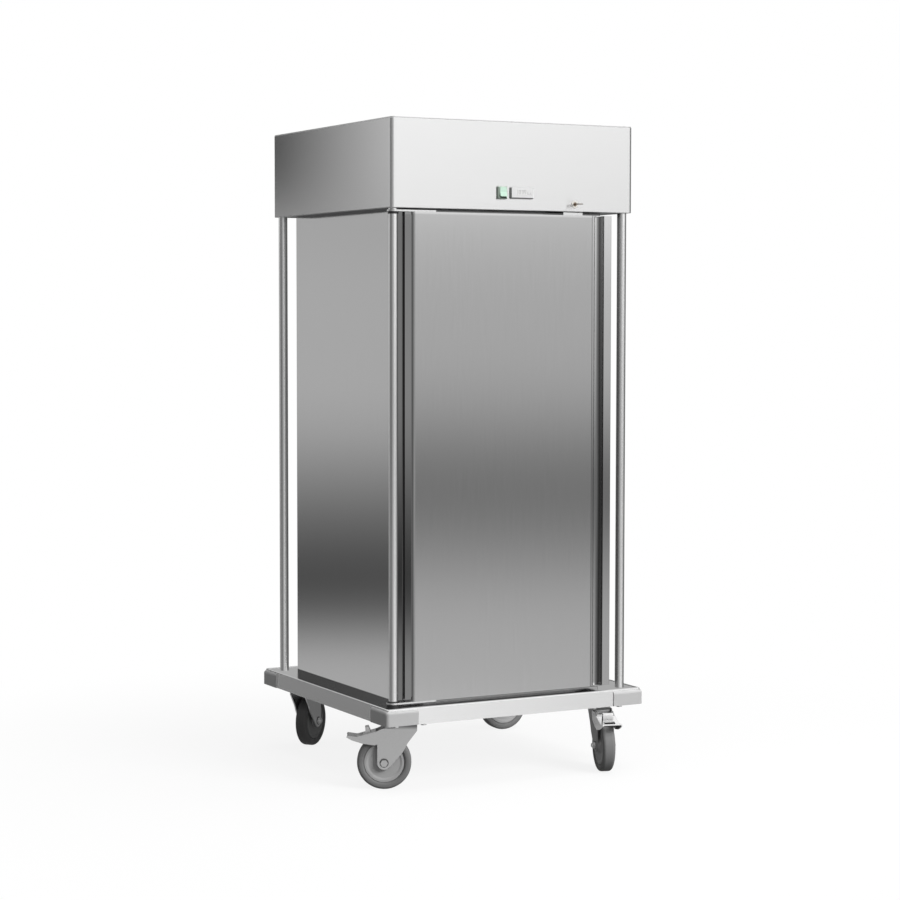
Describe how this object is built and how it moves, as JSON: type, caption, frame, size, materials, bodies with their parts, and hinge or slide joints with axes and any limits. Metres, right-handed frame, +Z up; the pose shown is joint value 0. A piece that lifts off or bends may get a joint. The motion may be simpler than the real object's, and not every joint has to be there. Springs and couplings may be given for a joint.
{
  "type": "banquet refrigerator",
  "caption": "Tall wheeled banquet refrigerator: insulated stainless cabinet with a full-height hinged door, corner posts, a cooling unit in a header on top and braked swivel casters.",
  "frame": {"origin": "on the floor, under the middle of the base", "axes": "+X to the right as seen facing the door, +Y to the back, +Z up; the door faces -Y"},
  "size_m": [0.9767, 0.984, 1.96],
  "materials": {
    "stainless": "satin",
    "tube_steel": "satin",
    "grip_profile": "satin",
    "inner_sheet": "satin",
    "frame_steel": "satin",
    "zinc_steel": "satin",
    "bumper_plastic": "matte",
    "hub_plastic": "matte",
    "tyre_rubber": "matte",
    "black_plastic": "matte",
    "seal_rubber": "matte",
    "foam": "matte",
    "black_paint": "gloss",
    "coil_metal": "satin",
    "copper": "satin",
    "box_plastic": "matte",
    "panel_plastic": "satin",
    "switch_green": "gloss",
    "lock_metal": "satin"
  },
  "bodies": {
    "cart": {"base_pan": "stainless", "base_frame": "frame_steel", "corner_bumpers": "bumper_plastic", "hinge_post": "tube_steel", "corner_posts": "tube_steel", "post_studs": "zinc_steel", "caster_plates": "zinc_steel", "caster_bolts": "zinc_steel", "cabinet_shell": "stainless", "cabinet_insulation": "foam", "cabinet_liner": "inner_sheet", "tray_rack": "inner_sheet", "evaporator_housing": "inner_sheet", "evaporator_coil": "coil_metal", "evaporator_fan_motor": "frame_steel", "header_shell": "stainless", "header_floor": "inner_sheet", "header_cover": "stainless", "compressor": "black_paint", "condenser": "coil_metal", "condenser_fan_motor": "frame_steel", "refrigerant_pipes": "copper", "electrical_box": "box_plastic", "mains_inlet": "black_plastic", "controller": "panel_plastic", "switch_bezel": "black_plastic", "lock_barrel": "zinc_steel"},
    "door": {"door_skin": "stainless", "door_insulation": "foam", "door_liner": "inner_sheet", "door_gasket": "seal_rubber", "door_grip": "grip_profile", "hinge_plates": "stainless", "hinge_bushes": "black_plastic", "strike_plate": "stainless"},
    "swivel_front_left": {"fork_front_left": "zinc_steel", "axle_front_left": "zinc_steel"},
    "wheel_front_left": {"hub_front_left": "hub_plastic", "tyre_front_left": "tyre_rubber"},
    "pedal_front_left": {"brake_pedal_front_left": "zinc_steel"},
    "swivel_front_right": {"fork_front_right": "zinc_steel", "axle_front_right": "zinc_steel"},
    "wheel_front_right": {"hub_front_right": "hub_plastic", "tyre_front_right": "tyre_rubber"},
    "pedal_front_right": {"brake_pedal_front_right": "zinc_steel"},
    "swivel_rear_left": {"fork_rear_left": "zinc_steel", "axle_rear_left": "zinc_steel"},
    "wheel_rear_left": {"hub_rear_left": "hub_plastic", "tyre_rear_left": "tyre_rubber"},
    "swivel_rear_right": {"fork_rear_right": "zinc_steel", "axle_rear_right": "zinc_steel"},
    "wheel_rear_right": {"hub_rear_right": "hub_plastic", "tyre_rear_right": "tyre_rubber"},
    "rocker": {"rocker": "switch_green"},
    "key_down": {"key_down": "panel_plastic"},
    "key_up": {"key_up": "panel_plastic"},
    "lock": {"lock_cam": "lock_metal", "lock_key": "lock_metal"},
    "evaporator_fan": {"evaporator_fan": "black_plastic"},
    "condenser_fan": {"condenser_fan": "black_plastic"}
  },
  "joints": [
    {"name": "door_hinge", "type": "hinge", "parent": "cart", "child": "door", "pos_m": [-0.388, -0.391, 0.25], "axis": [0, 0, 1], "range_deg": [-270, 0]},
    {"name": "swivel_front_left", "type": "hinge", "parent": "cart", "child": "swivel_front_left", "pos_m": [-0.338, -0.358, 0.19], "axis": [0, 0, 1], "continuous": true},
    {"name": "wheel_spin_front_left", "type": "hinge", "parent": "swivel_front_left", "child": "wheel_front_left", "pos_m": [-0.38879, -0.33212, 0.08], "axis": [0.454, 0.891, 0], "continuous": true},
    {"name": "brake_front_left", "type": "hinge", "parent": "swivel_front_left", "child": "pedal_front_left", "pos_m": [-0.37988, -0.33666, 0.168], "axis": [-0.454, -0.891, 0], "range_deg": [0, 7]},
    {"name": "swivel_front_right", "type": "hinge", "parent": "cart", "child": "swivel_front_right", "pos_m": [0.338, -0.358, 0.19], "axis": [0, 0, 1], "continuous": true},
    {"name": "wheel_spin_front_right", "type": "hinge", "parent": "swivel_front_right", "child": "wheel_front_right", "pos_m": [0.32039, -0.41221, 0.08], "axis": [-0.9511, 0.309, 0], "continuous": true},
    {"name": "brake_front_right", "type": "hinge", "parent": "swivel_front_right", "child": "pedal_front_right", "pos_m": [0.32348, -0.4027, 0.168], "axis": [0.9511, -0.309, 0], "range_deg": [0, 7]},
    {"name": "swivel_rear_left", "type": "hinge", "parent": "cart", "child": "swivel_rear_left", "pos_m": [-0.338, 0.358, 0.19], "axis": [0, 0, 1], "continuous": true},
    {"name": "wheel_spin_rear_left", "type": "hinge", "parent": "swivel_rear_left", "child": "wheel_rear_left", "pos_m": [-0.29434, 0.39464, 0.08], "axis": [0.6428, -0.766, 0], "continuous": true},
    {"name": "swivel_rear_right", "type": "hinge", "parent": "cart", "child": "swivel_rear_right", "pos_m": [0.338, 0.358, 0.19], "axis": [0, 0, 1], "continuous": true},
    {"name": "wheel_spin_rear_right", "type": "hinge", "parent": "swivel_rear_right", "child": "wheel_rear_right", "pos_m": [0.39492, 0.35502, 0.08], "axis": [-0.0523, -0.9986, 0], "continuous": true},
    {"name": "switch_rocker", "type": "hinge", "parent": "cart", "child": "rocker", "pos_m": [-0.0453, -0.414, 1.7505], "axis": [1, 0, 0], "range_deg": [0, 16]},
    {"name": "key_down_press", "type": "slide", "parent": "cart", "child": "key_down", "axis": [0, 1, 0], "range_m": [0, 0.0006], "stiffness_N_per_m": 400},
    {"name": "key_up_press", "type": "slide", "parent": "cart", "child": "key_up", "axis": [0, 1, 0], "range_m": [0, 0.0006], "stiffness_N_per_m": 400},
    {"name": "lock_turn", "type": "hinge", "parent": "cart", "child": "lock", "pos_m": [0.205, -0.419, 1.722], "axis": [0, 1, 0], "range_deg": [0, 90]},
    {"name": "evaporator_fan_spin", "type": "hinge", "parent": "cart", "child": "evaporator_fan", "pos_m": [0, 0.06, 1.5575], "axis": [0, 0, 1], "continuous": true},
    {"name": "condenser_fan_spin", "type": "hinge", "parent": "cart", "child": "condenser_fan", "pos_m": [-0.15, 0.2945, 1.806], "axis": [0, 1, 0], "continuous": true}
  ]
}
